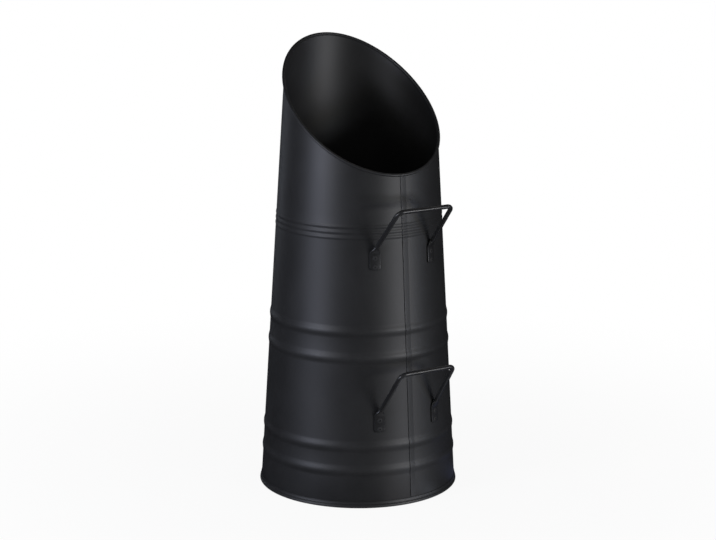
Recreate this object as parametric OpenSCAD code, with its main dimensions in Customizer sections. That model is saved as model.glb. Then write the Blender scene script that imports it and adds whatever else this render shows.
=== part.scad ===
// Tall coal scuttle of folded and riveted sheet steel, with a slanted mouth and two lifting handles.
// The origin is the centre of the base on the floor, +Z is up, and the handles are on the -Y side.

/* [Shell] */
// Outside diameter of the wall at the floor
foot_d = 220; // [190:1:240]
// Lean of the wall towards the axis, in degrees
wall_lean = 3.38; // [2:0.02:4.5]
// Thickness of the sheet
sheet_t = 0.7; // [0.6:0.05:0.9]
// Width of the flange turned in under the shell
foot_flange = 8; // [5:0.5:12]

/* [Mouth] */
// Height of the mouth at its low side
mouth_low = 365; // [345:1:375]
// Height of the mouth at its high side
mouth_high = 499; // [470:1:510]
// Turn of the mouth's low point away from the handles, in degrees
mouth_turn = -2.4; // [-8:0.2:8]
// Diameter of the wire in the rolled mouth
wire_d = 1.8; // [1.6:0.1:2.6]
// Clearance round the wire
wire_gap = 0.1; // [0.08:0.01:0.2]
// Distance that the roll's centre stands outside the middle of the sheet
roll_set = 0.7; // [0.3:0.05:0.8]
// Angle that the sheet wraps round the wire, in degrees
roll_wrap = 312; // [270:2:320]

/* [Beads] */
// Width of a swaged bead
bead_w = 15; // [10:0.5:18]
// Height of a bead above the wall
bead_rise = 1; // [0.5:0.05:1.6]
// Height of the lowest bead's middle
low_pair_z = 41; // [30:1:50]
// Distance between the two beads of the low pair
low_pair_pitch = 27; // [20:1:30]
// Height of the lower bead of the middle pair
mid_pair_z = 166; // [150:1:175]
// Distance between the two beads of the middle pair
mid_pair_pitch = 29; // [20:1:34]
// Number of narrow ridges below the mouth
ridge_count = 3; // [2:1:4]
// Height of the lowest ridge's middle
ridge_z = 297.3; // [294:0.1:304]
// Distance from ridge to ridge
ridge_pitch = 5.9; // [5:0.1:7]
// Height of a ridge above the wall
ridge_rise = 0.45; // [0.2:0.05:0.8]

/* [Side seam] */
// Width of the folded seam
seam_w = 7; // [5:0.5:10]
// Height of the seam above the wall
seam_rise = 0.9; // [0.8:0.1:1.6]
// Lean of the seam to one side, in degrees
seam_lean = 0.55; // [0:0.05:1]
// Gap between the seam's lower end and the rim of the base
seam_gap = 0.5; // [0.3:0.1:2]

/* [Base] */
// Thickness of the base plate
base_t = 0.7; // [0.6:0.05:1]
// Height of the base's turned-up rim above the plate
base_rim_h = 6.3; // [5:0.1:8]
// Thickness of the turned-up rim, whose sheet is folded double
base_rim_t = 1.3; // [1.2:0.05:1.6]
// Clearance between the rim and the shell
base_gap = 0.3; // [0.2:0.05:0.5]
// Outside radius of the bend at the foot of the rim
base_bend = 0.8; // [0.7:0.1:1.1]

/* [Handles] */
// Diameter of the handle rod
rod_d = 5; // [4:0.1:6]
// Length of the grip between its corners
grip_len = 68.2; // [60:0.2:72]
// Length of a leg from the foot to the grip
leg_len = 62.7; // [54:0.1:72]
// Rise of the lower handle's legs above the horizontal, in degrees
low_leg_angle = 53.4; // [46:0.2:58]
// Rise of the upper handle's legs above the horizontal, in degrees
high_leg_angle = 49; // [42:0.2:54]
// Radius of the corner bends, to the middle of the rod
bend_r = 7; // [5:0.5:10]
// Distance between the middles of the two feet
foot_spacing = 73; // [72:0.2:78]
// Width of a flattened foot
foot_w = 12; // [10:0.5:13]
// Thickness of a flattened foot
foot_t = 1.7; // [1.4:0.1:2.2]
// Length of a foot along the wall
foot_len = 22.5; // [21:0.5:26]
// Length over which the foot narrows into the rod, to each side of the bend
foot_blend = 5; // [4:0.5:5.5]
// Radius of the foot's lower corners
foot_corner = 3; // [1:0.5:4]
// Clearance between a foot and the wall
foot_gap = 0.1; // [0.05:0.05:0.3]
// Height of the lower handle's feet
low_handle_z = 84.5; // [81:0.5:96]
// Height of the upper handle's feet
high_handle_z = 262.5; // [250:0.5:264]

/* [Rivets] */
// Diameter of a rivet's shank
rivet_d = 3.2; // [2.6:0.1:3.6]
// Radial clearance round the shank
rivet_gap = 0.1; // [0.05:0.05:0.2]
// Diameter of a rivet's head, outside
rivet_head_d = 5.6; // [5:0.1:6.2]
// Height of a rivet's head
rivet_head_h = 0.9; // [0.8:0.1:1.2]
// Diameter of the hole in a rivet's head
rivet_bore = 1.8; // [1.4:0.1:2]
// Depth of the hole, down to the pulled-off pin
rivet_bore_depth = 0.8; // [0.6:0.1:1.2]
// Diameter of the bulb that the pin drew up, inside
rivet_bulb_d = 4.6; // [4.2:0.1:5]
// Length of the bulb
rivet_bulb_h = 2.4; // [1.8:0.1:3]
// Height of the lower rivet above the end of the foot
rivet_low = 3.4; // [3.2:0.1:4.5]
// Distance between the two rivets of a foot
rivet_pitch = 9.6; // [9:0.1:11]

/* [Hidden] */

// Colours of the finishes
coat = "#2b2c2f";
coat_worn = "#35363a";
bare_steel = "#8d9094";

// Number of segments in a full circle
$fn = 96;
// Number of segments across a bead and a ridge
bead_steps = 10;
ridge_steps = 8;
// Number of segments round the mouth, along its cut edge, round the roll and round the wire
mouth_steps = 72;
cut_steps = 12;
roll_steps = 10;
wire_steps = 10;
// Number of sides of the rod, and of segments along a foot's end, its blend and a corner
rod_sides = 16;
end_steps = 2;
blend_steps = 6;
corner_steps = 6;
// Number of segments in a small arc
arc_steps = 4;

// A length that reaches past every face it has to cut
past = foot_d;

// ---- Wall ----

// The plain wall's outside radius at height z
function wall_r(z) = foot_d / 2 - z * tan(wall_lean);

// A swage's section: 1 at its middle, 0 at half its width to each side
function swell(t) = abs(t) < 0.5 ? (1 + cos(360 * t)) / 2 : 0;

beads = [low_pair_z, low_pair_z + low_pair_pitch, mid_pair_z, mid_pair_z + mid_pair_pitch];
ridges = [for (i = [0 : ridge_count - 1]) ridge_z + i * ridge_pitch];

function sum(list, i = 0) = i < len(list) ? list[i] + sum(list, i + 1) : 0;
function bead_r(z) = bead_rise * sum([for (b = beads) swell((z - b) / bead_w)]);
function ridge_r(z) = ridge_rise * sum([for (r = ridges) swell((z - r) / ridge_pitch)]);
function outer_r(z) = wall_r(z) + bead_r(z) + ridge_r(z);

// Heights at which the wall's section has a point, from one height to another
bead_heights = [for (b = beads) for (i = [0 : bead_steps]) b + bead_w * (i / bead_steps - 0.5)];
ridge_span = ridge_count * ridge_steps;
ridge_heights = [for (i = [0 : ridge_span]) ridge_z + ridge_pitch * (i / ridge_steps - 0.5)];
function heights(low, high) = concat([low], bead_heights, ridge_heights, [high]);

// A band of sheet that follows the beads, its faces set off from the wall's outside
module wall_band(low, high, inside, outside) {
    zs = heights(low, high);
    last = len(zs) - 1;
    polygon(concat(
        [for (z = zs) [outer_r(z) + outside, z]],
        [for (i = [0 : last]) [outer_r(zs[last - i]) + inside, zs[last - i]]]
    ));
}

wall_top = mouth_high + 2 * bead_w;

module wall() {
    rotate_extrude() {
        wall_band(base_t, wall_top, -sheet_t, 0);
        translate([outer_r(base_t) - sheet_t - foot_flange, base_t])
            square([foot_flange + sheet_t / 2, sheet_t]);
    }
}

// ---- Side seam ----

seam_foot = base_t + base_rim_h + seam_gap;
seam_mid = (seam_foot + mouth_low) / 2;
seam_sector = 12;

module side_seam() {
    intersection() {
        rotate([0, 0, -90 - seam_sector / 2])
            rotate_extrude(angle = seam_sector)
                wall_band(seam_foot, wall_top, -sheet_t / 2, seam_rise);
        translate([0, 0, seam_mid])
            rotate([0, -seam_lean, 0])
                translate([-seam_w / 2, -past, -seam_mid])
                    cube([seam_w, past, wall_top + past]);
    }
}

// ---- Mouth ----

roll_bore = wire_d / 2 + wire_gap;
roll_r = roll_bore + sheet_t;

// Middle of the roll at angle a from the low side
function mouth_z(a) = (mouth_high + mouth_low - (mouth_high - mouth_low) * cos(a)) / 2 - roll_r;
function roll_centre(a) =
    let (z = mouth_z(a), r = wall_r(z) - sheet_t / 2 + roll_set)
    [r * sin(a), -r * cos(a), z];

function unit(v) = v / norm(v);
function mouth_run(a) = unit(roll_centre(a + 0.5) - roll_centre(a - 0.5));
// Directions across the roll: up along the wall, and out from it
function wall_out(a) = [sin(a) * cos(wall_lean), -cos(a) * cos(wall_lean), sin(wall_lean)];
function mouth_up(a) = unit(cross(wall_out(a), mouth_run(a)));
function mouth_out(a) = cross(mouth_run(a), mouth_up(a));

function ring(section, a) =
    [for (p = section) roll_centre(a) + p[0] * mouth_out(a) + p[1] * mouth_up(a)];

// A closed bar of the given section that runs once round the mouth
module mouth_sweep(section) {
    n = len(section);
    points = [for (i = [0 : mouth_steps - 1]) each ring(section, 360 * i / mouth_steps)];
    faces = [
        for (i = [0 : mouth_steps - 1]) for (j = [0 : n - 1])
            let (
                a = i * n + j,
                b = i * n + (j + 1) % n,
                c = ((i + 1) % mouth_steps) * n + (j + 1) % n,
                d = ((i + 1) % mouth_steps) * n + j
            )
            each [[a, c, b], [a, d, c]]
    ];
    rotate([0, 0, mouth_turn]) polyhedron(points, faces);
}

function arc(r, from, to, steps) =
    [for (i = [0 : steps]) let (t = from + (to - from) * i / steps) r * [cos(t), sin(t)]];

// The sheet turns over outwards round the wire and ends below it. It grows out of the wall through a
// neck that lies inside the thickness of the sheet.
neck_half = 0.2 * sheet_t;
neck_depth = 2 * sheet_t;
lip_gap = 0.05;
neck_in = -roll_set - neck_half;
neck_out = -roll_set + neck_half;
lip_r = roll_r + lip_gap;
roll_start = -90 - asin(-neck_in / roll_r);
roll_end = roll_start - roll_wrap;
bore_start = -90 - asin(-neck_out / roll_bore);
roll_section = concat(
    [[neck_in, -lip_r - neck_depth]],
    arc(roll_r, roll_start, roll_end, roll_steps),
    arc(roll_bore, roll_end, bore_start, roll_steps),
    [[neck_out, -lip_r - neck_depth]]
);
wire_section = [
    for (i = [0 : wire_steps - 1]) let (t = -360 * i / wire_steps)
        wire_d / 2 * [cos(t), sin(t)]
];

// What is cut off the wall above its upper edge, just under the roll
function lip(a) = roll_centre(a) - lip_r * mouth_up(a);
module above_mouth() {
    edge = [for (i = [0 : cut_steps]) let (p = lip(180 * i / cut_steps)) [p[1], p[2]]];
    low_slope = (edge[1][1] - edge[0][1]) / (edge[1][0] - edge[0][0]);
    rotate([0, 0, mouth_turn])
        rotate([90, 0, 90])
            linear_extrude(height = 2 * past, center = true)
                polygon(concat(
                    [[-past, edge[0][1] - low_slope * (edge[0][0] + past)]],
                    edge,
                    [[past, edge[cut_steps][1]], [past, wall_top + past], [-past, wall_top + past]]
                ));
}

// ---- Handles ----

// A foot's place: its turn round the wall, and the middle of the bend where the leg leaves it
foot_tuck = rod_d / 2 + foot_gap;
function leg_r(z) = wall_r(z) - foot_len * sin(wall_lean) + foot_tuck * cos(wall_lean);
function foot_turn(z) = asin(foot_spacing / 2 / leg_r(z));

// Directions on the wall at angle a from the front, and a point at distance n off it and h up it
function wall_up(a) = [-sin(a) * sin(wall_lean), cos(a) * sin(wall_lean), cos(wall_lean)];
function on_wall(a, z, n, h) =
    [wall_r(z) * sin(a), -wall_r(z) * cos(a), z] + n * wall_out(a) + h * wall_up(a);

// Places a child on the wall at a foot's lower end: X along the wall's girth, Z up it, -Y out
module at_foot(z, side) {
    rotate([0, 0, side * foot_turn(z)])
        translate([0, -wall_r(z), z])
            rotate([-wall_lean, 0, 0])
                children();
}

// Places a child on the axis of each rivet of a foot, with +Z pointing out of the wall
module at_rivets(z, side) {
    at_foot(z, side)
        for (i = [0, 1])
            translate([0, 0, rivet_low + i * rivet_pitch])
                rotate([90, 0, 0])
                    children();
}

// The plane of a rod whose legs rise at angle e: its own upward direction, and the direction out of it
function bow_up(e) = [0, -cos(e), sin(e)];
function bow_out(e) = [0, -sin(e), -cos(e)];
splay = asin((foot_spacing - grip_len) / 2 / leg_len);
function leg_run(e) = [-sin(splay), 0, 0] + cos(splay) * bow_up(e);
corner_turn = 90 - splay;
corner_tangent = bend_r * tan(corner_turn / 2);

function mix(a, b, t) = a + (b - a) * t;
function ease(t) = t * t * (3 - 2 * t);

// Stations along the rod: [middle, run, direction of the thickness, half width, half thickness]
function foot_stations(z) = let (a = foot_turn(z), b = foot_t / 2) concat(
    [for (i = [0 : end_steps]) let (f = 90 * i / end_steps) [
        on_wall(a, z, foot_gap + b, foot_corner * (1 - cos(f))), wall_up(a), wall_out(a),
        foot_w / 2 - foot_corner * (1 - sin(f)), b
    ]],
    [[on_wall(a, z, foot_gap + b, foot_len - foot_blend), wall_up(a), wall_out(a), foot_w / 2, b]]
);

// From the flat foot the rod grows round while it bends out into the leg
function blend_stations(z, e) = let (
    a = foot_turn(z),
    knee = on_wall(a, z, foot_tuck, foot_len)
) [for (i = [1 : blend_steps]) let (
    t = i / blend_steps,
    b = mix(foot_t / 2, rod_d / 2, ease(t)),
    low = on_wall(a, z, foot_gap + b, foot_len - foot_blend),
    bent = mix(mix(low, knee, t), mix(knee, knee + foot_blend * leg_run(e), t), t)
) [
    bent, unit(mix(wall_up(a), leg_run(e), t)), unit(mix(wall_out(a), bow_out(e), t)),
    mix(foot_w / 2, rod_d / 2, ease(t)), b
]];

function corner_stations(z, e) = let (
    knee = on_wall(foot_turn(z), z, foot_tuck, foot_len),
    corner = knee + leg_len * leg_run(e),
    middle = corner - corner_tangent * leg_run(e) - bend_r * cross(leg_run(e), bow_out(e))
) [for (i = [0 : corner_steps]) let (f = splay + corner_turn * i / corner_steps) [
    middle + bend_r * (cos(f) * [1, 0, 0] + sin(f) * bow_up(e)),
    -sin(f) * [1, 0, 0] + cos(f) * bow_up(e), bow_out(e), rod_d / 2, rod_d / 2
]];

function mirrored(v) = [-v[0], v[1], v[2]];
function rod_stations(z, e) = let (
    right = concat(foot_stations(z), blend_stations(z, e), corner_stations(z, e)),
    last = len(right) - 1
) concat(right, [for (i = [0 : last]) let (s = right[last - i])
    [mirrored(s[0]), -mirrored(s[1]), mirrored(s[2]), s[3], s[4]]
]);

// A flattened round: two half circles of the half thickness, drawn apart to the half width
function rod_ring(s) = let (
    run = s[1],
    thick = unit(s[2] - (s[2] * run) * run),
    wide = cross(run, thick),
    r = s[4] / cos(180 / rod_sides)
) [for (j = [0 : rod_sides - 1]) let (f = 360 * (j + 0.5) / rod_sides)
    s[0] + (sign(cos(f)) * (s[3] - s[4]) + r * cos(f)) * wide + r * sin(f) * thick
];

module rod(z, e) {
    stations = rod_stations(z, e);
    n = rod_sides;
    last = len(stations) - 1;
    points = [for (s = stations) each rod_ring(s)];
    sides = [
        for (i = [0 : last - 1]) for (j = [0 : n - 1])
            let (a = i * n + j, b = i * n + (j + 1) % n)
            each [[a, b + n, b], [a, a + n, b + n]]
    ];
    ends = [[for (j = [0 : n - 1]) j], [for (j = [0 : n - 1]) last * n + n - 1 - j]];
    polyhedron(points, concat(sides, ends));
}

module handle(z, e) {
    difference() {
        rod(z, e);
        rivet_holes(z);
    }
}

// ---- Rivets ----

rivet_out = foot_gap + foot_t;
rivet_in = sheet_t + foot_gap;

// A low dome on the plane z = 0
module dome(d, h) {
    r = (d * d / 4 + h * h) / (2 * h);
    intersection() {
        translate([0, 0, h - r]) sphere(r = r);
        cylinder(d = 2 * d, h = h + r);
    }
}

// A blind rivet: a low domed head with the pin's hole, and the bulb drawn up behind the wall
module rivet() {
    difference() {
        union() {
            translate([0, 0, -rivet_in]) cylinder(d = rivet_d, h = rivet_in + rivet_out);
            translate([0, 0, rivet_out]) dome(rivet_head_d, rivet_head_h);
        }
        translate([0, 0, rivet_out + rivet_head_h - rivet_bore_depth])
            cylinder(d = rivet_bore, h = 2 * rivet_bore_depth);
    }
    bulb_round = rivet_bulb_h / 2;
    translate([0, 0, -rivet_in])
        mirror([0, 0, 1]) {
            cylinder(d = rivet_bulb_d, h = rivet_bulb_h - bulb_round);
            translate([0, 0, rivet_bulb_h - bulb_round]) dome(rivet_bulb_d, bulb_round);
        }
}

module rivet_holes(z) {
    depth = rivet_in + rod_d;
    for (side = [-1, 1])
        at_rivets(z, side)
            translate([0, 0, -depth])
                cylinder(d = rivet_d + 2 * rivet_gap, h = 2 * depth);
}

// ---- The pieces ----

module shell() {
    color(coat)
        difference() {
            union() {
                difference() {
                    union() {
                        wall();
                        side_seam();
                    }
                    above_mouth();
                }
                mouth_sweep(roll_section);
            }
            rivet_holes(low_handle_z);
            rivet_holes(high_handle_z);
        }
}

module rim_wire() {
    color(bare_steel) mouth_sweep(wire_section);
}

module base_plate() {
    crown = base_rim_t / 2;
    inner = [for (z = [base_t, base_t + base_rim_h - crown]) [wall_r(z) + base_gap, z]];
    outer = inner[1] + [base_rim_t, 0];
    bend_middle = [wall_r(0) + base_gap + base_rim_t - base_bend, base_bend];
    color(coat)
        rotate_extrude()
            polygon(concat(
                [[0, 0]],
                [for (p = arc(base_bend, -90, 0, arc_steps)) bend_middle + p],
                [for (p = arc(crown, 0, 180, arc_steps)) (inner[1] + outer) / 2 + p],
                [inner[0], [0, base_t]]
            ));
}

module upper_handle() {
    color(coat_worn) handle(high_handle_z, high_leg_angle);
}

module lower_handle() {
    color(coat_worn) handle(low_handle_z, low_leg_angle);
}

module upper_left_rivets() {
    color(coat) at_rivets(high_handle_z, -1) rivet();
}

module upper_right_rivets() {
    color(coat) at_rivets(high_handle_z, 1) rivet();
}

module lower_left_rivets() {
    color(coat) at_rivets(low_handle_z, -1) rivet();
}

module lower_right_rivets() {
    color(coat) at_rivets(low_handle_z, 1) rivet();
}

shell();
rim_wire();
base_plate();
upper_handle();
lower_handle();
upper_left_rivets();
upper_right_rivets();
lower_left_rivets();
lower_right_rivets();
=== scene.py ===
"""A tall coal scuttle of rolled, beaded and powder-coated sheet steel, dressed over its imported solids.

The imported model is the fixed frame. Each sub-assembly builds its finer meshes in that frame, each
finish is worked out in shader nodes, and the studio sets the floor, the lamps and the camera.
Lengths are in metres and angles in radians, unless a name says otherwise.
"""

import logging
import math
from dataclasses import dataclass, field, replace
from enum import Enum

import bmesh
import bpy
import numpy as np
from mathutils import Matrix, Vector

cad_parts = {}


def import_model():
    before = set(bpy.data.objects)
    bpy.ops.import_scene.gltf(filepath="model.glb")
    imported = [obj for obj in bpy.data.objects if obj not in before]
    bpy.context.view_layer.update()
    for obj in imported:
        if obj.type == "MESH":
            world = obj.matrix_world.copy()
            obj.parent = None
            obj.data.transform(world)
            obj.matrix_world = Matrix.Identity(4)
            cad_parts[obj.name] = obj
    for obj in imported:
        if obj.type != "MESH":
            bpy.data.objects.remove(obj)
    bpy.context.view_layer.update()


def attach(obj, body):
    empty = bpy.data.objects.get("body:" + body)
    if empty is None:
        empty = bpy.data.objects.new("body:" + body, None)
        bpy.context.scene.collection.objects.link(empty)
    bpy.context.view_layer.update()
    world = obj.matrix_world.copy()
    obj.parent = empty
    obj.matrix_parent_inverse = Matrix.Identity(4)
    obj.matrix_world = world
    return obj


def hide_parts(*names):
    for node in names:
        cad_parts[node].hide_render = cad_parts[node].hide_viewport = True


LOG = logging.getLogger("coal_scuttle")
MM = 0.001
BODY = "root"
CREASE = math.radians(38)
WELD = 0.001 * MM
Array = np.ndarray
Material = bpy.types.Material
Piece = bpy.types.Object
Socket = bpy.types.NodeSocket
Colour = tuple[float, float, float]
Span = tuple[float, float]


# ---- Shader expressions ----


class Value:
    """A number that varies over a surface, on which the usual operators add Math nodes."""

    def __init__(self, shader: "Shader", socket: Socket) -> None:
        """Wraps the output socket of a node tree that carries the number."""
        self.shader = shader
        self.socket = socket

    def _math(self, operation: str, first: "Operand", second: "Operand") -> "Value":
        """Returns the result of one Math node."""
        node = self.shader.add("ShaderNodeMath", {"operation": operation}, {0: first, 1: second})
        return Value(self.shader, node.outputs[0])

    def __add__(self, other: "Operand") -> "Value":
        """Returns self + other."""
        return self._math("ADD", self, other)

    def __radd__(self, other: "Operand") -> "Value":
        """Returns other + self."""
        return self._math("ADD", other, self)

    def __sub__(self, other: "Operand") -> "Value":
        """Returns self - other."""
        return self._math("SUBTRACT", self, other)

    def __rsub__(self, other: "Operand") -> "Value":
        """Returns other - self."""
        return self._math("SUBTRACT", other, self)

    def __mul__(self, other: "Operand") -> "Value":
        """Returns self * other."""
        return self._math("MULTIPLY", self, other)

    def __pow__(self, other: "Operand") -> "Value":
        """Returns self ** other."""
        return self._math("POWER", self, other)

    def step(self, start: float, end: float) -> "Value":
        """Eases from 0 to 1.

        Args:
            start: The number at which it is 0.
            end: The number at which it is 1, above or below start.

        Returns:
            The eased number.
        """
        node = self.shader.add(
            "ShaderNodeMapRange",
            {"interpolation_type": "SMOOTHSTEP"},
            {"Value": self, "From Min": start, "From Max": end, "To Min": 0.0, "To Max": 1.0},
        )
        return Value(self.shader, node.outputs["Result"])


Operand = Value | float


class Shader:
    """The node tree of a material or of the world, written as expressions."""

    MIX_COLOURS = {"a": 6, "b": 7, "result": 2}

    def __init__(self, tree: bpy.types.NodeTree) -> None:
        """Empties the tree that the expressions go into."""
        self.tree = tree
        tree.nodes.clear()

    def add(self, kind: str, settings: dict | None = None, sockets: dict | None = None) -> bpy.types.Node:
        """Adds any node.

        Args:
            kind: The node's type.
            settings: Its own settings, which are made first.
            sockets: A value, a Value or an output socket for each input that is named or numbered.

        Returns:
            The new node.
        """
        node = self.tree.nodes.new(kind)
        for name, setting in (settings or {}).items():
            setattr(node, name, setting)
        for name, value in (sockets or {}).items():
            source = value.socket if isinstance(value, Value) else value
            if isinstance(source, Socket):
                self.tree.links.new(source, node.inputs[name])
            else:
                node.inputs[name].default_value = source
        return node

    def place(self) -> Socket:
        """Returns the place of a surface point in the object's own frame."""
        return self.add("ShaderNodeTexCoord").outputs["Object"]

    def axes(self) -> tuple[Value, ...]:
        """Returns the x, y and z of a surface point."""
        node = self.add("ShaderNodeSeparateXYZ", sockets={0: self.place()})
        return tuple(Value(self, socket) for socket in node.outputs)

    def noise(self, size: float, detail: float, density: float = 1.0) -> Value:
        """Adds soft noise.

        Args:
            size: The width of one patch of it.
            detail: The number of finer layers.
            density: How many times as dense it is up and down as it is across.

        Returns:
            The noise, from 0 to 1.
        """
        sockets = {0: self.place(), 1: (1.0, 1.0, density)}
        where = self.add("ShaderNodeVectorMath", {"operation": "MULTIPLY"}, sockets).outputs[0]
        sockets = {"Vector": where, "Scale": 1 / size, "Detail": detail}
        return Value(self, self.add("ShaderNodeTexNoise", sockets=sockets).outputs["Fac"])

    def blend(self, share: Operand, first: object, second: object) -> Socket:
        """Mixes two colours.

        Args:
            share: The share of the second one, from 0 to 1.
            first: A colour or a colour's socket.
            second: A colour or a colour's socket.

        Returns:
            The mixed colour's socket.
        """
        ends = [c if isinstance(c, Socket) else (*c, 1.0) for c in (first, second)]
        sockets = {0: share, self.MIX_COLOURS["a"]: ends[0], self.MIX_COLOURS["b"]: ends[1]}
        node = self.add("ShaderNodeMix", {"data_type": "RGBA"}, sockets)
        return node.outputs[self.MIX_COLOURS["result"]]

    def bump(self, height: Value, depth: float) -> Socket:
        """Returns the normal of a surface whose height runs from 0 to 1 times depth."""
        sockets = {"Height": height, "Distance": depth, "Strength": 1.0}
        return self.add("ShaderNodeBump", sockets=sockets).outputs["Normal"]

    def seen(self) -> Value:
        """Tells the rays that see a surface from those that gather its light.

        Returns:
            1 for a ray from the camera, straight, reflected or refracted, and 0 for light.
        """
        rays = self.add("ShaderNodeLightPath").outputs
        kinds = ("Is Camera Ray", "Is Glossy Ray", "Is Transmission Ray")
        camera, glossy, through = (Value(self, rays[kind]) for kind in kinds)
        return camera + glossy + through

    def grey(self, kind: str, level: float) -> Socket:
        """Returns a plain grey shader of the given kind, with strength 1 if it gives light."""
        return self.add(kind, sockets={"Color": (level, level, level, 1.0)}).outputs[0]

    def choose(self, share: Value, first: Socket, second: Socket) -> None:
        """Makes the first shader the surface where share is 0, and the second where it is 1."""
        node = self.add("ShaderNodeMixShader", sockets={0: share, 1: first, 2: second})
        self.surface(node.outputs[0])

    def surface(self, shader: Socket) -> None:
        """Makes a shader's socket the material's or the world's surface."""
        kind = "ShaderNodeOutputWorld" if self.tree.id_data == bpy.context.scene.world else None
        self.add(kind or "ShaderNodeOutputMaterial", sockets={"Surface": shader})


# ---- Finishes ----


class Slot(Enum):
    """The record's material slots."""

    SHELL = "shell_coat"
    BASE = "base_coat"
    HANDLE = "handle_coat"
    RIVET = "rivet_coat"
    WIRE = "wire_steel"


class Measure(Enum):
    """What a rubbed place is found by."""

    STANDOFF = "distance out from the plain wall"
    HEIGHT = "height above the floor"


def new_material(name: str) -> tuple[Material, Shader]:
    """Makes an empty node material.

    Args:
        name: The material's name.

    Returns:
        The material and its node tree.
    """
    material = bpy.data.materials.new(name)
    material.use_nodes = True
    return material, Shader(material.node_tree)


@dataclass(frozen=True)
class Rub:
    """A place where handling or standing has rubbed the coat."""

    measure: Measure
    start: float
    end: float
    amount: float
    patch: float = 9 * MM
    patch_detail: float = 3.0
    patch_span: Span = (0.35, 0.7)
    even_share: float = 0.35

    def mask(self, shader: Shader, wall: "Wall") -> Value:
        """Works out how rubbed the coat is.

        Args:
            shader: The material's node tree.
            wall: The wall that a standoff is measured from.

        Returns:
            0 where the coat is whole, up to amount where it is rubbed.
        """
        x, y, z = shader.axes()
        if self.measure is Measure.HEIGHT:
            found = z
        else:
            found = (x * x + y * y) ** 0.5 + z * math.tan(wall.lean) - wall.foot_radius
        patches = shader.noise(self.patch, self.patch_detail).step(*self.patch_span)
        cover = self.even_share + patches * (1 - self.even_share)
        return found.step(self.start, self.end) * cover * self.amount


@dataclass(frozen=True)
class PowderCoat:
    """Satin black powder coat, with fine orange peel, faint clouding and a rubbed place."""

    name: str
    rub: Rub
    wall: "Wall"
    colour: Colour = (0.0106, 0.0107, 0.0113)
    clouded: Colour = (0.0136, 0.0137, 0.0145)
    rubbed: Colour = (0.026, 0.0262, 0.027)
    roughness: float = 0.50
    refraction: float = 1.5
    peel_size: float = 1.3 * MM
    peel_depth: float = 0.010 * MM
    peel_detail: float = 2.0
    grit_size_share: float = 0.25
    grit_depth_share: float = 0.3
    grit_detail: float = 1.0
    grit_roughness: float = 0.10
    cloud_size: float = 45 * MM
    cloud_detail: float = 3.0
    cloud_span: Span = (0.3, 0.75)
    cloud_roughness: float = 0.07
    rub_polish: float = 0.12

    def make(self) -> Material:
        """Builds the coat.

        Returns:
            The material.
        """
        material, shader = new_material(self.name)
        peel = shader.noise(self.peel_size, self.peel_detail)
        grit = shader.noise(self.peel_size * self.grit_size_share, self.grit_detail)
        cloud = shader.noise(self.cloud_size, self.cloud_detail)
        worn = self.rub.mask(shader, self.wall)
        coat = shader.blend(cloud.step(*self.cloud_span), self.colour, self.clouded)
        coat = shader.blend(worn, coat, self.rubbed)
        roughness = self.roughness + (cloud - 0.5) * self.cloud_roughness
        roughness = roughness + (grit - 0.5) * self.grit_roughness - worn * self.rub_polish
        body = shader.add(
            "ShaderNodeBsdfPrincipled",
            sockets={
                "Base Color": coat,
                "Roughness": roughness,
                "Normal": shader.bump(peel + grit * self.grit_depth_share, self.peel_depth),
                "IOR": self.refraction,
            },
        )
        shader.surface(body.outputs[0])
        return material


@dataclass(frozen=True)
class DrawnWire:
    """Plain drawn steel wire, with fine lines and a dull bloom."""

    name: str
    steel: Colour = (0.36, 0.37, 0.38)
    bloom: Colour = (0.16, 0.155, 0.15)
    bloom_size: float = 6 * MM
    bloom_detail: float = 4.0
    bloom_span: Span = (0.45, 0.75)
    bloom_cover: float = 0.5
    bloom_roughness: float = 0.25
    line_size: float = 0.25 * MM
    line_detail: float = 2.0
    line_density: float = 6.0
    line_depth: float = 0.01 * MM
    line_roughness: float = 0.1
    roughness: float = 0.32

    def make(self) -> Material:
        """Builds the wire's steel.

        Returns:
            The material.
        """
        material, shader = new_material(self.name)
        bloom = shader.noise(self.bloom_size, self.bloom_detail).step(*self.bloom_span)
        lines = shader.noise(self.line_size, self.line_detail, self.line_density)
        roughness = self.roughness + bloom * self.bloom_roughness + lines * self.line_roughness
        body = shader.add(
            "ShaderNodeBsdfPrincipled",
            sockets={
                "Base Color": shader.blend(bloom, self.steel, self.bloom),
                "Metallic": 1.0 - bloom * self.bloom_cover,
                "Roughness": roughness,
                "Normal": shader.bump(lines, self.line_depth),
            },
        )
        shader.surface(body.outputs[0])
        return material


# ---- Meshes ----


def polar(turn: Array, radius: Array, height: Array) -> Array:
    """Returns points by their angles from -Y towards +X, distances from the axis and heights."""
    turn, radius, height = np.broadcast_arrays(turn, radius, height)
    return np.stack([radius * np.sin(turn), -radius * np.cos(turn), height], axis=-1)


def unit(vectors: Array) -> Array:
    """Returns the vectors at length 1."""
    return vectors / np.linalg.norm(vectors, axis=-1, keepdims=True)


def mix(first: Array, second: Array, share: Array) -> Array:
    """Returns first at share 0, second at share 1 and a blend in between."""
    return first + (second - first) * share


def ease(share: Array) -> Array:
    """Returns a share that starts and ends gently."""
    return share * share * (3 - 2 * share)


def arc(radius: float, start: float, end: float, steps: int) -> Array:
    """Returns the points of an arc round the origin, from its start to its end angle."""
    turn = np.linspace(start, end, steps + 1)
    return radius * np.stack([np.cos(turn), np.sin(turn)], axis=-1)


def turns(steps: int) -> Array:
    """Returns the angles at which the steps of one full turn start."""
    return np.linspace(0, 2 * math.pi, steps, endpoint=False)


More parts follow.
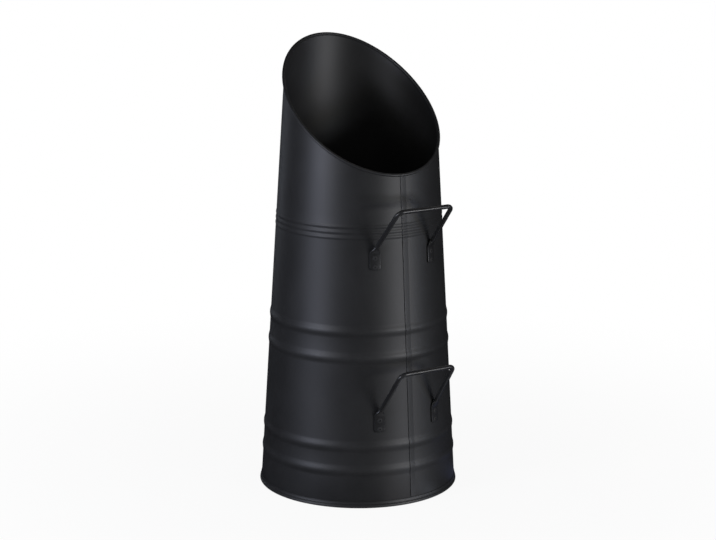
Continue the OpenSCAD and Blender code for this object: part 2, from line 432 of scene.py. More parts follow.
def band(name: str, rings: Array, closed: bool) -> Piece:
    """Makes a solid mesh from rings of points, smooth but for its creases.

    Args:
        name: The piece's name.
        rings: The points, by ring and by place in the ring. Points that meet become one.
        closed: True if the last ring joins the first, and False if both ends are capped.

    Returns:
        The new object.
    """
    count, size = rings.shape[:2]
    mesh = bmesh.new()
    points = [[mesh.verts.new(point) for point in ring] for ring in rings]
    for i in range(count if closed else count - 1):
        here, after = points[i], points[(i + 1) % count]
        for j in range(size):
            k = (j + 1) % size
            mesh.faces.new((here[j], here[k], after[k], after[j]))
    if not closed:
        mesh.faces.new(points[0])
        mesh.faces.new(points[-1])
    bmesh.ops.remove_doubles(mesh, verts=mesh.verts, dist=WELD)
    bmesh.ops.recalc_face_normals(mesh, faces=mesh.faces)
    data = bpy.data.meshes.new(name)
    mesh.to_mesh(data)
    mesh.free()
    data.shade_smooth()
    data.set_sharp_from_angle(angle=CREASE)
    piece = bpy.data.objects.new(name, data)
    bpy.context.scene.collection.objects.link(piece)
    return piece


def lathe(name: str, profile: Array, steps: int) -> Piece:
    """Returns a piece that is a closed outline of radii and heights, turned round the axis."""
    return band(name, polar(turns(steps)[:, None], profile[None, :, 0], profile[None, :, 1]), True)


def joined(name: str, parts: list[Piece]) -> Piece:
    """Puts several meshes into one piece.

    Args:
        name: The piece's name.
        parts: The objects, which are used up.

    Returns:
        The piece.
    """
    whole = bmesh.new()
    for part in parts:
        whole.from_mesh(part.data)
    data = bpy.data.meshes.new(name)
    whole.to_mesh(data)
    whole.free()
    for part in parts:
        bpy.data.meshes.remove(part.data)
    piece = bpy.data.objects.new(name, data)
    bpy.context.scene.collection.objects.link(piece)
    return piece


def dress(piece: Piece, material: Material, slot: Slot, *nodes: str) -> None:
    """Finishes a piece and ties it to the frame.

    Args:
        piece: The piece, in its place.
        material: Its material.
        slot: The record's slot that its finish comes from. It is not used.
        nodes: The solids that it stands for.
    """
    piece.data.materials.append(material)
    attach(piece, BODY)
    if nodes:
        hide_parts(*nodes)
    LOG.info("%s: %d faces", piece.name, len(piece.data.polygons))


# ---- The wall and its mouth ----


@dataclass(frozen=True)
class Swage:
    """A bead or a ridge pressed out of the wall, all round."""

    height: float
    width: float
    rise: float

    def lift(self, height: Array) -> Array:
        """Returns how far the wall stands out at a height."""
        share = (np.asarray(height) - self.height) / self.width
        return np.where(np.abs(share) < 0.5, self.rise * (1 + np.cos(2 * np.pi * share)) / 2, 0.0)

    def heights(self, steps: int) -> list[float]:
        """Returns the heights at which the wall needs a row of points."""
        return [self.height + self.width * (i / steps - 0.5) for i in range(steps + 1)]


@dataclass(frozen=True)
class Wall:
    """The tapered wall: where its faces are, with their beads and ridges."""

    foot_radius: float = 110 * MM
    lean: float = math.radians(3.38)
    sheet: float = 0.7 * MM
    bead_width: float = 15 * MM
    bead_rise: float = 1 * MM
    bead_heights: tuple[float, ...] = (41 * MM, 68 * MM, 166 * MM, 195 * MM)
    ridge_height: float = 297.3 * MM
    ridge_pitch: float = 5.9 * MM
    ridge_count: int = 3
    ridge_rise: float = 0.45 * MM
    swage_steps: int = 12
    row_decimals: int = 7
    columns: int = 216

    def swages(self) -> list[Swage]:
        """Lists what is pressed out of the wall.

        Returns:
            The beads and the ridges, from the floor up.
        """
        beads = [Swage(z, self.bead_width, self.bead_rise) for z in self.bead_heights]
        tops = [self.ridge_height + i * self.ridge_pitch for i in range(self.ridge_count)]
        return beads + [Swage(z, self.ridge_pitch, self.ridge_rise) for z in tops]

    def plain_radius(self, height: Array) -> Array:
        """Returns the outside radius without beads."""
        return self.foot_radius - height * math.tan(self.lean)

    def radius(self, height: Array) -> Array:
        """Returns the outside radius with beads."""
        return self.plain_radius(height) + sum(swage.lift(height) for swage in self.swages())

    def rows(self, low: float, high: float) -> Array:
        """Works out the heights of the rows of points between two heights.

        Args:
            low: The first height.
            high: The last height.

        Returns:
            The heights, rising.
        """
        swages = self.swages()
        found = [z for swage in swages for z in swage.heights(self.swage_steps) if low < z < high]
        return np.unique(np.round([low, *found, high], self.row_decimals))

    def out(self, turn: Array) -> Array:
        """Returns the direction straight out of the wall."""
        return polar(turn, math.cos(self.lean), math.sin(self.lean))

    def up(self, turn: Array) -> Array:
        """Returns the direction up along the wall."""
        return polar(turn, -math.sin(self.lean), math.cos(self.lean))

    def on(self, turn: float, height: float, off: float, along: float) -> Array:
        """Returns the point off the plain wall and along it, up from the spot at turn and height."""
        spot = polar(turn, self.plain_radius(height), height)
        return spot + off * self.out(turn) + along * self.up(turn)


@dataclass(frozen=True)
class Mouth:
    """The slanted mouth: the line that the middle of its wire follows."""

    wall: Wall
    low: float = 365 * MM
    high: float = 499 * MM
    turn: float = math.radians(-2.4)
    wire_radius: float = 0.9 * MM
    wire_gap: float = 0.1 * MM
    set_out: float = 0.7 * MM
    look_ahead: float = math.radians(0.5)

    @property
    def mid_radius(self) -> float:
        """The radius of the roll at the middle of the sheet."""
        return self.wire_radius + self.wire_gap + self.wall.sheet / 2

    def centre(self, turn: Array) -> Array:
        """Follows the middle of the wire.

        Args:
            turn: The angle from the mouth's low side.

        Returns:
            The point.
        """
        drop = self.mid_radius + self.wall.sheet / 2
        height = (self.high + self.low - (self.high - self.low) * np.cos(turn)) / 2 - drop
        radius = self.wall.plain_radius(height) - self.wall.sheet / 2 + self.set_out
        return polar(turn + self.turn, radius, height)

    def place(self, turn: Array, section: Array) -> Array:
        """Places a section of the roll at each of several angles.

        Args:
            turn: The angles from the mouth's low side.
            section: The section's points: the distance out and up from the wire's middle.

        Returns:
            The points, by angle and by place in the section.
        """
        run = unit(self.centre(turn + self.look_ahead) - self.centre(turn - self.look_ahead))
        up = unit(np.cross(self.wall.out(turn + self.turn), run))
        out = np.cross(run, up)
        middle = self.centre(turn)[:, None, :]
        return middle + section[None, :, :1] * out[:, None, :] + section[None, :, 1:] * up[:, None, :]


# ---- Sub-assemblies ----


@dataclass
class Shell:
    """The sheet of the shell: its beaded wall, its wired edge, its foot and its lock seam."""

    wall: Wall
    mouth: Mouth
    floor: float = 0.7 * MM
    flange: float = 8 * MM
    flange_bend: float = 1.2 * MM
    plain_above: float = 322 * MM
    plain_rows: int = 5
    joggle: float = 3.0 * MM
    curl_start: float = math.radians(215)
    curl_end: float = math.radians(-84)
    curl_steps: int = 26
    joggle_steps: int = 7
    round_steps: int = 4
    seam_width: float = 7 * MM
    seam_rise: float = 0.85 * MM
    seam_edge: float = 0.02 * MM
    seam_fold_steps: int = 8
    seam_soft_steps: int = 12
    seam_lean: float = math.radians(0.55)
    seam_foot: float = 7.5 * MM

    def edge_line(self) -> tuple[Array, Array, Array]:
        """Draws the middle of the sheet from the wall into the roll.

        Returns:
            Its points, the directions it runs in, and 1 at the wall falling to 0 at the roll.
        """
        radius = self.mouth.mid_radius
        start = np.array([-self.mouth.set_out, -self.joggle])
        curl = arc(radius, self.curl_start, self.curl_end, self.curl_steps)
        turn = np.linspace(self.curl_start, self.curl_end, len(curl))
        curl_run = np.stack([np.sin(turn), -np.cos(turn)], axis=-1)
        reach = np.linalg.norm(curl[0] - start)
        t = np.linspace(0, 1, self.joggle_steps + 1)[:, None]
        h = 1 - ease(t)
        bend = (
            h * start
            + (1 - h) * curl[0]
            + (t**3 - 2 * t**2 + t) * reach * np.array([0.0, 1.0])
            + (t**3 - t**2) * reach * curl_run[0]
        )
        bend_run = unit(np.gradient(bend, axis=0))
        bend_run[0], bend_run[-1] = (0.0, 1.0), curl_run[0]
        fade = np.concatenate([1 - t[:, 0], np.zeros(len(curl) - 1)])
        return np.vstack([bend, curl[1:]]), np.vstack([bend_run, curl_run[1:]]), fade

    def face(self, inset: float, turn: Array, side: int) -> Array:
        """Places one face of the sheet, from its lowest row up into the roll.

        Args:
            inset: How far the face lies in from the wall's outside.
            turn: The angles of the columns, from the mouth's low side.
            side: 1 for the outside face and -1 for the inside face.

        Returns:
            The points, by column and by row.
        """
        line, run, fade = self.edge_line()
        normal = np.stack([run[:, 1], -run[:, 0]], axis=-1)
        edge = self.mouth.place(turn, line + side * self.wall.sheet / 2 * normal)
        column = turn + self.mouth.turn
        foot = edge[:, 0]
        swing = np.arctan2(foot[:, 0], -foot[:, 1]) - column
        swing = (swing + np.pi) % (2 * np.pi) - np.pi
        on_wall = polar(column + swing, self.wall.plain_radius(foot[:, 2]) - inset, foot[:, 2])
        edge = edge + fade[None, :, None] * (on_wall - foot)[:, None, :]
        rows = self.wall.rows(self.lowest(side), self.plain_above)
        low = polar(column[:, None], self.wall.radius(rows)[None, :] - inset, rows[None, :])
        share = np.linspace(0, 1, self.plain_rows + 1)[None, 1:-1]
        height = mix(self.plain_above, foot[:, 2:], share)
        angle = column[:, None] + swing[:, None] * share
        high = polar(angle, self.wall.plain_radius(height) - inset, height)
        return np.concatenate([low, high, edge], axis=1)

    def lowest(self, side: int) -> float:
        """Returns the height at which a face of the wall ends in the bend of the foot."""
        inside = self.wall.sheet if side < 0 else 0.0
        return self.floor + self.flange_bend + inside * 0.5

    def lip(self, turn: Array) -> Array:
        """Places the round cut edge of the sheet, where the roll ends.

        Args:
            turn: The angles of the columns, from the mouth's low side.

        Returns:
            The points, by column and by row.
        """
        line, run, _ = self.edge_line()
        normal = np.array([run[-1, 1], -run[-1, 0]])
        round_edge = arc(self.wall.sheet / 2, 0, math.pi, self.round_steps)[1:-1]
        section = line[-1] + round_edge[:, :1] * normal + round_edge[:, 1:] * run[-1]
        return self.mouth.place(turn, section)

    def foot(self, turn: Array) -> Array:
        """Places the flange that turns in under the wall.

        Args:
            turn: The angles of the columns, from the mouth's low side.

        Returns:
            The points, by column and by row.
        """
        sheet, bend = self.wall.sheet, self.flange_bend
        inner = self.wall.radius(self.floor) - sheet
        low_in, low_out = self.lowest(-1), self.lowest(1)
        inside = arc(1.0, 0, -math.pi / 2, self.round_steps)[1:] * [bend, low_in - self.floor - sheet]
        inside = inside + [inner - bend, low_in]
        end = [[inner - self.flange, self.floor + sheet], [inner - self.flange, self.floor]]
        outside = arc(1.0, -math.pi / 2, 0, self.round_steps)[:-1] * [bend, low_out - self.floor]
        outside = outside + [self.wall.radius(low_out) - bend, low_out]
        profile = np.vstack([inside, end, outside])
        column = turn + self.mouth.turn
        return polar(column[:, None], profile[None, :, 0], profile[None, :, 1])

    def sheet_piece(self) -> Piece:
        """Builds the whole sheet as one closed mesh.

        Returns:
            The piece.
        """
        turn = turns(self.wall.columns)
        outside = self.face(0.0, turn, 1)
        inside = self.face(self.wall.sheet, turn, -1)[:, ::-1]
        rings = np.concatenate([outside, self.lip(turn), inside, self.foot(turn)], axis=1)
        return band("shell_sheet", rings, True)

    def seam_section(self) -> Array:
        """Draws the seam across: a round fold with a cleft on one side, a soft step on the other.

        Returns:
            Its points: the distance along the girth and out from the wall.
        """
        half, rise, bite = self.seam_width / 2, self.seam_rise, self.wall.sheet / 2
        fold = arc(rise / 2, -math.pi / 2, -3 * math.pi / 2, self.seam_fold_steps)
        fold = fold + [-half + rise / 2, rise / 2]
        t = np.linspace(0, 1, self.seam_soft_steps + 1)[1:]
        along = -half + rise / 2 + (self.seam_width - rise / 2) * t
        soft = np.stack([along, mix(rise, self.seam_edge, t)], axis=-1)
        root = [[half, -bite], [-half + rise / 2, -bite]]
        return np.vstack([fold, soft, root])

    def seam_piece(self) -> Piece:
        """Builds the lock seam up the wall, from the base into the roll.

        Returns:
            The piece.
        """
        top = self.mouth.low - 2 * self.mouth.mid_radius
        middle = (self.seam_foot + self.mouth.low) / 2
        rows = self.wall.rows(self.seam_foot, top)[:, None]
        section = self.seam_section()[None]
        radius = self.wall.radius(rows)
        lean = -np.tan(self.seam_lean) * (rows - middle) / radius
        turn = lean + section[:, :, 0] / radius
        return band("side_seam", polar(turn, radius + section[:, :, 1], rows), False)

    def build(self, coat: Material) -> None:
        """Builds the shell and dresses it in its powder coat."""
        dress(self.sheet_piece(), coat, Slot.SHELL, "shell")
        dress(self.seam_piece(), coat, Slot.SHELL)


@dataclass
class RimWire:
    """The wire that the mouth is rolled round."""

    mouth: Mouth
    sides: int = 12

    def build(self, steel: Material) -> None:
        """Builds and dresses the wire.

        Args:
            steel: Its bare steel.
        """
        section = arc(self.mouth.wire_radius, 0, 2 * math.pi, self.sides)[:-1]
        rings = self.mouth.place(turns(self.mouth.wall.columns), section)
        piece = band("mouth_wire", rings, True)
        dress(piece, steel, Slot.WIRE, "rim_wire")


@dataclass
class Base:
    """The base plate, whose rim closes round the foot of the shell."""

    wall: Wall
    thickness: float = 0.7 * MM
    rim_height: float = 6.3 * MM
    clearance: float = 0.04 * MM
    bend: float = 0.8 * MM
    crown: float = 0.28 * MM
    stand_out: float = 1.6 * MM
    groove_height: float = 3.6 * MM
    groove_depth: float = 0.38 * MM
    groove_width: float = 1.7 * MM
    face_steps: int = 32
    round_steps: int = 8

    def profile(self) -> Array:
        """Draws the plate and its rim.

        Returns:
            The closed outline, a radius and a height to each row.
        """
        plate, top = self.thickness, self.thickness + self.rim_height
        low, high = self.bend, top - self.crown
        height = np.linspace(low, high, self.face_steps + 1)
        thin = 2 * self.crown + self.clearance
        fall = ease((height - low) / (high - low))
        groove = Swage(self.groove_height, self.groove_width, -self.groove_depth)
        off = mix(self.stand_out, thin, fall) + groove.lift(height)
        face = np.stack([self.wall.plain_radius(height) + off, height], axis=-1)
        under = arc(self.bend, -math.pi / 2, 0, self.round_steps)[:-1]
        under = under + [face[0, 0] - self.bend, self.bend]
        inner_top = self.wall.plain_radius(top) + self.clearance
        inner_foot = self.wall.plain_radius(plate) + self.clearance
        crown = arc(self.crown, 0, math.pi, self.round_steps)[1:] + [inner_top + self.crown, high]
        return np.vstack([[[0, 0]], under, face, crown, [[inner_foot, plate], [0, plate]]])

    def build(self, coat: Material) -> None:
        """Builds the base and dresses it in its powder coat."""
        dress(lathe("base_pan", self.profile(), self.wall.columns), coat, Slot.BASE, "base_plate")


class Side(Enum):
    """The sides of a handle, seen from the front."""

    LEFT = -1
    RIGHT = 1


@dataclass(frozen=True)
class Station:
    """One ring of the handle's rod: its middle, its axes, its half sizes and its curve across."""

    middle: Array
    run: Array
    thick: Array
    half_width: float
    half_thickness: float
    curve: float = 0.0

    def mirrored(self) -> "Station":
        """Returns the same ring on the handle's other leg."""
        flip = np.array([-1.0, 1.0, 1.0])
        return replace(self, middle=self.middle * flip, run=-self.run * flip, thick=self.thick * flip)

    def ring(self, sides: int) -> Array:
        """Draws the ring: a round that is drawn apart to the half width and curved to the wall.

        Args:
            sides: The number of its points.

        Returns:
            Its points.
        """
        thick = unit(self.thick - np.dot(self.thick, self.run) * self.run)
        wide = np.cross(self.run, thick)
        turn = 2 * np.pi * (np.arange(sides) + 0.5) / sides
        across = np.sign(np.cos(turn)) * (self.half_width - self.half_thickness)
        across = across + self.half_thickness * np.cos(turn)
        height = self.half_thickness * np.sin(turn) - self.curve * across * across
        return self.middle + across[:, None] * wide + height[:, None] * thick


@dataclass
class Handle:
    """A lifting handle: a bent rod whose two flattened feet are riveted to the wall."""

    name: str
    height: float
    leg_angle: float
    wall: Wall
    rod_radius: float = 2.5 * MM
    grip_length: float = 68.2 * MM
    leg_length: float = 62.7 * MM
    bend_radius: float = 7 * MM
    foot_spacing: float = 73 * MM
    foot_width: float = 12 * MM
    foot_thickness: float = 1.7 * MM
    foot_length: float = 22.5 * MM
    foot_blend: float = 5 * MM
    foot_corner: float = 3 * MM
    foot_gap: float = 0.1 * MM
    rivet_radius: float = 1.6 * MM
    rivet_head_radius: float = 2.8 * MM
    rivet_head_height: float = 0.7 * MM
    rivet_bore_radius: float = 0.9 * MM
    rivet_bore_depth: float = 0.8 * MM
    rivet_bulb_radius: float = 2.3 * MM
    rivet_bulb_length: float = 2.4 * MM
    rivet_low: float = 3.4 * MM
    rivet_pitch: float = 9.6 * MM
    sides: int = 32
    dome_steps: int = 10
    end_steps: int = 8
    blend_steps: int = 18
    corner_steps: int = 16
    splay: float = field(init=False)
    foot_turn: float = field(init=False)

    def __post_init__(self) -> None:
        """Works out how far the legs splay and where the feet stand on the wall."""
        half_spread = (self.foot_spacing - self.grip_length) / 2
        self.splay = math.asin(half_spread / self.leg_length)
        tuck = self.rod_radius + self.foot_gap
        knee_radius = self.wall.plain_radius(self.height)
        knee_radius += tuck * math.cos(self.wall.lean) - self.foot_length * math.sin(self.wall.lean)
        self.foot_turn = math.asin(self.foot_spacing / 2 / knee_radius)

    @property
    def foot_curve(self) -> float:
        """How the foot bends with the wall: its drop over the square of the distance across."""
        return 0.5 / self.wall.plain_radius(self.height)

    @property
    def bow(self) -> tuple[Array, Array]:
        """The bent rod's own upward direction, and the direction out of its plane."""
        cos, sin = math.cos(self.leg_angle), math.sin(self.leg_angle)
        return np.array([0.0, -cos, sin]), np.array([0.0, -sin, -cos])

    @property
    def leg_run(self) -> Array:
        """The direction of the right leg, from its foot to the grip."""
        return np.array([-math.sin(self.splay), 0, 0]) + math.cos(self.splay) * self.bow[0]

    def knee(self) -> Array:
        """Returns the middle of the bend where the right leg leaves its foot."""
        tuck = self.rod_radius + self.foot_gap
        return self.wall.on(self.foot_turn, self.height, tuck, self.foot_length)

    def foot_stations(self) -> list[Station]:
        """Lists the rings of the right foot.

        Returns:
            The rings, from its round-cornered end up.
        """
        turn, half = self.foot_turn, self.foot_thickness / 2
        up, out = self.wall.up(turn), self.wall.out(turn)
        found = []
        for i in range(self.end_steps + 1):
            angle = math.pi / 2 * i / self.end_steps
            rise = self.foot_corner * (1 - math.cos(angle))
            width = self.foot_width / 2 - self.foot_corner * (1 - math.sin(angle))
            middle = self.wall.on(turn, self.height, self.foot_gap + half, rise)
            found.append(Station(middle, up, out, width, half, self.foot_curve))
        top = self.foot_length - self.foot_blend
        middle = self.wall.on(turn, self.height, self.foot_gap + half, top)
        return found + [Station(middle, up, out, self.foot_width / 2, half, self.foot_curve)]

    def blend_stations(self) -> list[Station]:
        """Lists the rings where the flat foot grows round and bends out into the leg.

        Returns:
            The rings, from the foot up.
        """
        turn, knee = self.foot_turn, self.knee()
        up, out = self.wall.up(turn), self.wall.out(turn)
        top = self.foot_length - self.foot_blend
        found = []
        for i in range(1, self.blend_steps + 1):
            t = i / self.blend_steps
            half = mix(self.foot_thickness / 2, self.rod_radius, ease(t))
            low = self.wall.on(turn, self.height, self.foot_gap + half, top)
            leg = knee + self.foot_blend * self.leg_run
            middle = mix(mix(low, knee, t), mix(knee, leg, t), t)
            run = unit(mix(up, self.leg_run, t))
            thick = unit(mix(out, self.bow[1], t))
            width = mix(self.foot_width / 2, self.rod_radius, ease(t))
            curve = mix(self.foot_curve, 0.0, ease(t))
            found.append(Station(middle, run, thick, width, half, curve))
        return found

    def corner_stations(self) -> list[Station]:
        """Lists the rings of the bend between the right leg and the grip.

        Returns:
            The rings, from the leg up.
        """
        bow_up, bow_out = self.bow
        corner = self.knee() + self.leg_length * self.leg_run
        turning = math.pi / 2 - self.splay
        tangent = self.bend_radius * math.tan(turning / 2)
        middle = corner - tangent * self.leg_run - self.bend_radius * np.cross(self.leg_run, bow_out)
        across = np.array([1.0, 0.0, 0.0])
        found = []
        for angle in np.linspace(self.splay, math.pi / 2, self.corner_steps + 1):
            spot = middle + self.bend_radius * (math.cos(angle) * across + math.sin(angle) * bow_up)
            run = -math.sin(angle) * across + math.cos(angle) * bow_up
            found.append(Station(spot, run, bow_out, self.rod_radius, self.rod_radius))
        return found

    def rod_piece(self) -> Piece:
        """Builds the bent rod with both its feet.

        Returns:
            The piece.
        """
        right = self.foot_stations() + self.blend_stations() + self.corner_stations()
        stations = right + [station.mirrored() for station in reversed(right)]
        rings = np.array([station.ring(self.sides) for station in stations])
        return band(f"{self.name}_rod", rings, False)

    def rivet_profile(self) -> Array:
        """Draws a blind rivet: a low domed head with the pin's hole, a shank and a bulb inside.

        Returns:
            The outline, a radius and a distance out from the wall to each row.
        """
        outer = self.foot_gap + self.foot_thickness
        inner = -self.wall.sheet - self.foot_gap
        bore, rise = self.rivet_bore_radius, self.rivet_head_height
        stub = outer + rise - self.rivet_bore_depth
        head = self.dome(self.rivet_head_radius, rise, bore) + [0, outer]
        hole = [[0, stub], [bore, stub]]
        shank = [[self.rivet_radius, outer], [self.rivet_radius, inner]]
        round_end = self.rivet_bulb_length / 2
        bulb = self.dome(self.rivet_bulb_radius, round_end, 0.0)[::-1] * [1, -1]
        bulb = bulb + [0, inner - self.rivet_bulb_length + round_end]
        return np.vstack([hole, head, shank, [[self.rivet_bulb_radius, inner]], bulb])

    def dome(self, radius: float, rise: float, bore: float) -> Array:
        """Draws a low dome from the edge of its bore, or its middle, out to its own edge.

        Args:
            radius: The radius of its edge.
            rise: Its height.
            bore: The radius of the hole in it, or 0.

        Returns:
            The points, a radius and a height to each row.
        """
        sphere = (radius * radius + rise * rise) / (2 * rise)
        start, end = math.asin(bore / sphere), math.asin(radius / sphere)
        cap = arc(sphere, math.pi / 2 - start, math.pi / 2 - end, self.dome_steps)
        return cap + [0, rise - sphere]

    def rivet(self, side: Side, number: int) -> Piece:
        """Builds one rivet.

        Args:
            side: The foot that it is in.
            number: 0 for the lower one and 1 for the upper one.

        Returns:
            The object.
        """
        turn = side.value * self.foot_turn
        spot = self.wall.on(turn, self.height, 0.0, self.rivet_low + number * self.rivet_pitch)
        girth = np.array([math.cos(turn), math.sin(turn), 0.0])
        up, out = self.wall.up(turn), self.wall.out(turn)
        profile = self.rivet_profile()[None]
        angle = turns(self.sides)[:, None, None]
        round_way = np.cos(angle) * girth + np.sin(angle) * up
        return band("rivet", spot + profile[..., :1] * round_way + profile[..., 1:] * out, True)

    def build(self, coat: Material, head_coat: Material) -> None:
        """Builds and dresses the handle and its four rivets.

        Args:
            coat: The rod's powder coat.
            head_coat: The rivets' powder coat.
        """
        dress(self.rod_piece(), coat, Slot.HANDLE, f"{self.name}_handle")
        for side in Side:
            name = f"{self.name}_{side.name.lower()}_rivets"
            pair = joined(f"{name}_pair", [self.rivet(side, number) for number in (0, 1)])
            dress(pair, head_coat, Slot.RIVET, name)


# ---- Studio ----


@dataclass(frozen=True)
class Softbox:
    """A soft rectangular lamp that stands round the scuttle and faces it, or lies and faces up."""

    name: str
    turn_degrees: float
    distance: float
    height: float
    width: float
    length: float
    strength: float
    tint: Colour
    tilt_degrees: float = 0.0

    def build(self, front: float) -> None:
        """Hangs the lamp.

        Args:
            front: The angle round the axis that the lamp's turn is counted from.
        """
        lamp = bpy.data.lights.new(self.name, "AREA")
        lamp.shape = "RECTANGLE"
        lamp.size, lamp.size_y = self.width, self.length
        lamp.energy = self.strength * math.pi * self.width * self.length
        lamp.color = self.tint
        angle, tilt = front + math.radians(self.turn_degrees), math.radians(self.tilt_degrees)
        across = Vector(polar(angle + math.pi / 2, 1.0, 0.0))
        back = Vector(polar(angle, math.cos(tilt), -math.sin(tilt)))
        spot = Vector(polar(angle, self.distance, self.height))
        holder = bpy.data.objects.new(self.name, lamp)
        axes = Matrix((across, back.cross(across), back)).transposed()
        holder.matrix_world = Matrix.Translation(spot) @ axes.to_4x4()
        holder.visible_camera = False
        bpy.context.scene.collection.objects.link(holder)


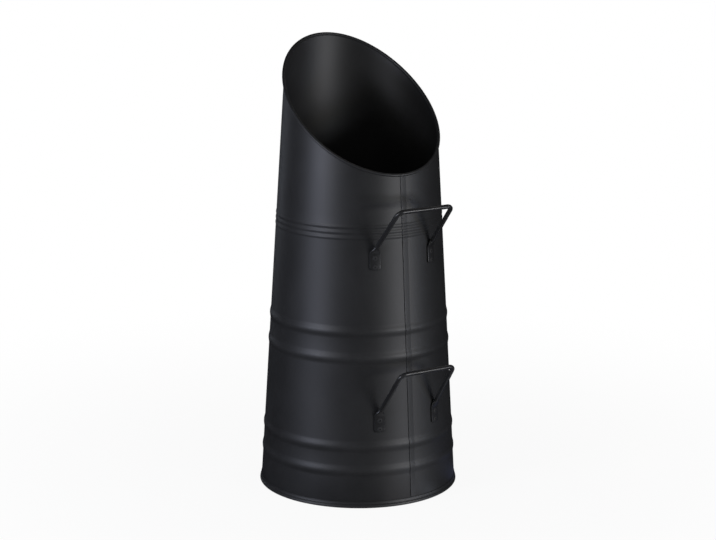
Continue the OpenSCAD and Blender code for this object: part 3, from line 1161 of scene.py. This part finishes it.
@dataclass
class Studio:
    """The floor, the surround, the lamps and the camera."""

    photo_width: float = 716.0
    sensor: float = 36.0
    focal_pixels: float = 2029.5
    azimuth: float = math.radians(-32.955)
    away: float = 2210.1 * MM
    eye_height: float = 750.4 * MM
    swing: float = -0.0004
    pitch: float = 0.2264
    roll: float = 0.0044
    clip: Span = (0.05, 50.0)
    floor_radius: float = 0.9
    floor_grey: float = 0.88
    floor_thickness: float = 1 * MM
    floor_segments: int = 96
    shadow_share: float = 0.08
    shadow_fade: Span = (0.95, 0.2)
    dim: float = 0.38
    flag_inner: float = 0.1125
    flag_radius: float = 2.7
    flag_height: float = 2.6
    flag_thickness: float = 0.2 * MM
    flag_grey: float = 0.02
    flag_segments: int = 64

    def camera(self) -> None:
        """Stands the camera where the photograph was taken from."""
        data = bpy.data.cameras.new("camera")
        data.sensor_width = self.sensor
        data.lens = self.focal_pixels / self.photo_width * self.sensor
        data.clip_start, data.clip_end = self.clip
        spot = Vector(polar(self.azimuth, self.away, self.eye_height))
        facing = self.swing - self.azimuth
        level = Vector((math.sin(facing), math.cos(facing), 0.0))
        ahead = level * math.cos(self.pitch) - Vector((0, 0, math.sin(self.pitch)))
        right = ahead.cross(Vector((0, 0, 1))).normalized()
        up = right.cross(ahead)
        right, up = (
            right * math.cos(self.roll) + up * math.sin(self.roll),
            up * math.cos(self.roll) - right * math.sin(self.roll),
        )
        holder = bpy.data.objects.new("camera", data)
        axes = Matrix((right, up, -ahead)).transposed()
        holder.matrix_world = Matrix.Translation(spot) @ axes.to_4x4()
        bpy.context.scene.collection.objects.link(holder)
        bpy.context.scene.camera = holder

    def surround(self) -> None:
        """Makes the world: white where it is seen, and dim as light."""
        world = bpy.data.worlds.new("surround")
        world.use_nodes = True
        bpy.context.scene.world = world
        shader = Shader(world.node_tree)
        light = shader.grey("ShaderNodeBackground", self.dim)
        shader.choose(shader.seen(), light, shader.grey("ShaderNodeBackground", 1.0))

    def floor(self) -> None:
        """Lays the pale floor, which is white where it is seen and keeps a soft shadow."""
        radius, low = self.floor_radius, -self.floor_thickness
        profile = np.array([[0.0, 0.0], [radius, 0.0], [radius, low], [0.0, low]])
        piece = lathe("floor", profile, self.floor_segments)
        material, shader = new_material("pale_floor")
        x, y, _ = shader.axes()
        near = ((x * x + y * y) ** 0.5).step(*(radius * share for share in self.shadow_fade))
        paper = shader.grey("ShaderNodeBsdfDiffuse", self.floor_grey)
        share = shader.seen() * (1 - near * self.shadow_share)
        shader.choose(share, paper, shader.grey("ShaderNodeEmission", 1.0))
        piece.data.materials.append(material)

    def flags(self) -> None:
        """Hangs dark cloth round the set, out of the camera's sight, that the gloss sees."""
        inner, outer = self.flag_inner, self.flag_radius
        top, thin = self.flag_height, self.flag_thickness
        inside = [[inner, thin], [outer, thin], [outer, top], [0.0, top]]
        outside = [[0.0, top + thin], [outer + thin, top + thin], [outer + thin, -thin], [inner, -thin]]
        profile = np.array(inside + outside) + [0, 2 * thin]
        piece = lathe("flags", profile, self.flag_segments)
        material, shader = new_material("dark_cloth")
        shader.surface(shader.grey("ShaderNodeBsdfDiffuse", self.flag_grey))
        piece.data.materials.append(material)
        piece.visible_camera = False
        piece.visible_diffuse = False
        piece.visible_shadow = False
        piece.visible_transmission = False

    def lamps(self) -> None:
        """Stands the softboxes round the camera's side and the back, and lays the glows."""
        near, strip, narrow, wide = 1.5, 0.21, 0.395, 0.804
        glow = (0.206, 2 * MM, 0.054, 0.185)
        for box in (
            # name, turn, distance, height, width, length, strength, tint and tilt
            Softbox("left_low", -55, near, 0.35, strip, 0.2, 51.2, (0.75, 0.80, 1.0)),
            Softbox("left_key", -45, near, 0.575, strip, 0.25, 27.1, (0.91, 0.92, 1.0)),
            Softbox("left_high", -45, near, 0.85, strip, 0.3, 5.5, (0.99, 1.0, 0.94)),
            Softbox("right_front", 45, near, 0.35, strip, 0.2, 16.6, (0.93, 0.97, 1.0)),
            Softbox("right_key", 55, near, 0.35, strip, 0.2, 13.8, (1.0, 0.94, 0.83)),
            Softbox("right_low", 55, near, 0.135, strip, 0.23, 22.5, (0.88, 0.89, 1.0)),
            Softbox("right_side", 65, near, 0.135, strip, 0.23, 11.6, (1.0, 0.99, 0.94)),
            Softbox("right_edge", 75, near, 0.135, strip, 0.23, 6.0, (0.59, 0.71, 1.0)),
            Softbox("back_high", 150, near, 1.4, wide, 0.8, 0.7, (1.0, 0.96, 0.95)),
            Softbox("back_low", -135, near, 0.235, narrow, 0.43, 1.05, (0.81, 0.87, 1.0)),
            Softbox("front_glow", 30, *glow, 0.32, (1.0, 0.95, 0.98), 90),
            Softbox("side_glow", 45, *glow, 0.58, (0.81, 0.87, 1.0), 90),
            Softbox("edge_glow", 90, *glow, 0.18, (0.46, 0.54, 1.0), 90),
        ):
            box.build(self.azimuth)

    def build(self) -> None:
        """Sets up the studio."""
        bpy.context.scene.view_settings.view_transform = "Standard"
        self.camera()
        self.surround()
        self.floor()
        self.flags()
        self.lamps()


def main() -> None:
    """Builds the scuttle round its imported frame, then the studio."""
    logging.basicConfig(level=logging.INFO, format="%(name)s %(message)s")
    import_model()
    wall = Wall()
    mouth = Mouth(wall)
    beads = Rub(Measure.STANDOFF, start=0.55 * MM, end=1.0 * MM, amount=0.30)
    foot = Rub(Measure.HEIGHT, start=1.6 * MM, end=0.2 * MM, amount=0.8)
    grip = Rub(Measure.STANDOFF, start=30 * MM, end=37 * MM, amount=0.45)
    crowns = Rub(Measure.STANDOFF, start=2.0 * MM, end=2.6 * MM, amount=0.3, patch=2 * MM)
    shell_coat = PowderCoat("shell_coat", beads, wall).make()
    base_coat = PowderCoat("base_coat", foot, wall).make()
    handle = PowderCoat("handle_coat", grip, wall, roughness=0.36, peel_size=0.9 * MM)
    rivet = PowderCoat("rivet_coat", crowns, wall, roughness=0.75, peel_size=0.8 * MM)
    handle_coat, rivet_coat = handle.make(), rivet.make()
    Shell(wall, mouth).build(shell_coat)
    RimWire(mouth).build(DrawnWire("wire_steel").make())
    Base(wall).build(base_coat)
    for name, height, degrees in (("upper", 262.5 * MM, 49.0), ("lower", 84.5 * MM, 53.4)):
        Handle(name, height, math.radians(degrees), wall).build(handle_coat, rivet_coat)
    Studio().build()


if __name__ == "__main__":
    main()
